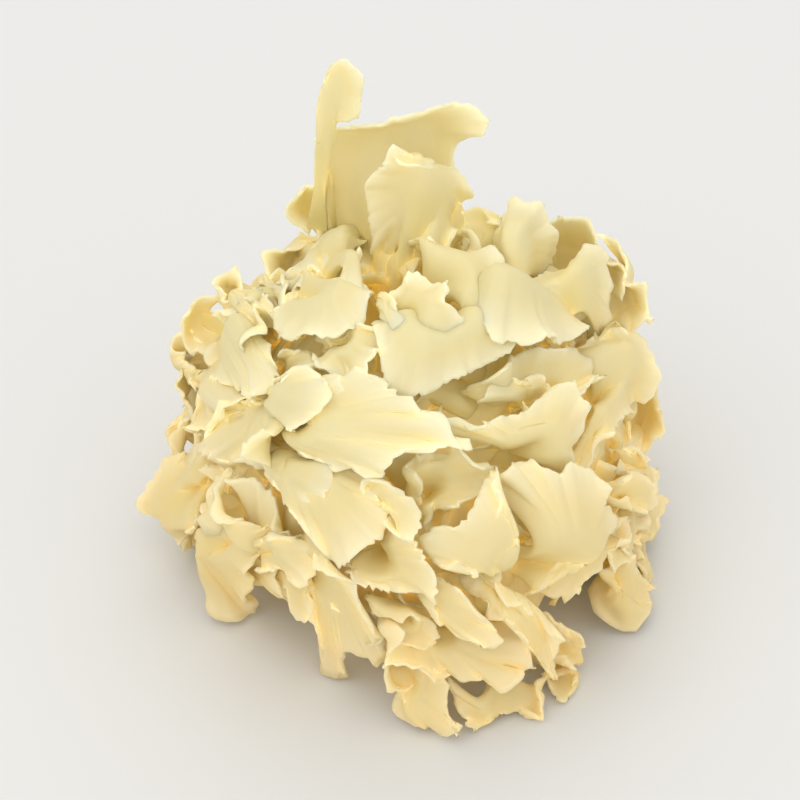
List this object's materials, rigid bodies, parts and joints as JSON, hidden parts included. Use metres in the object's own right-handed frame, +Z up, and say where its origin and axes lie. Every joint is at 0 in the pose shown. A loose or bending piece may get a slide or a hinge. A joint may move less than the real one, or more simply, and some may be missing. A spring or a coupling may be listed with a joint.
{
  "type": "cauliflower mushroom",
  "caption": "Whole cauliflower mushroom: a dome of pale wavy ruffled fronds growing in branches from a short thick foot, cut flat below so that it stands.",
  "frame": {"origin": "on the foot's flat cut face, where the mushroom stands, under the middle of its dome of fronds", "axes": "+Z up out of the cut face, +X to the right and -Y towards the viewer of the picture"},
  "size_m": [0.151, 0.1555, 0.1527],
  "materials": {
    "frond_flesh": "waxy, pale cream to golden",
    "foot_flesh": "matt, golden tan"
  },
  "bodies": {
    "root": {"foot": "foot_flesh", "crown_branch": "frond_flesh", "top_branch": "frond_flesh", "upper_right_branch": "frond_flesh", "upper_left_branch": "frond_flesh", "left_branch": "frond_flesh", "middle_branch": "frond_flesh", "right_branch": "frond_flesh", "front_branch": "frond_flesh", "front_left_branch": "frond_flesh", "front_right_branch": "frond_flesh", "back_branch": "frond_flesh", "back_upper_left_branch": "frond_flesh", "back_upper_right_branch": "frond_flesh", "back_low_branch": "frond_flesh", "back_left_branch": "frond_flesh", "back_right_branch": "frond_flesh", "right_low_branch": "frond_flesh", "left_low_branch": "frond_flesh"}
  },
  "joints": []
}
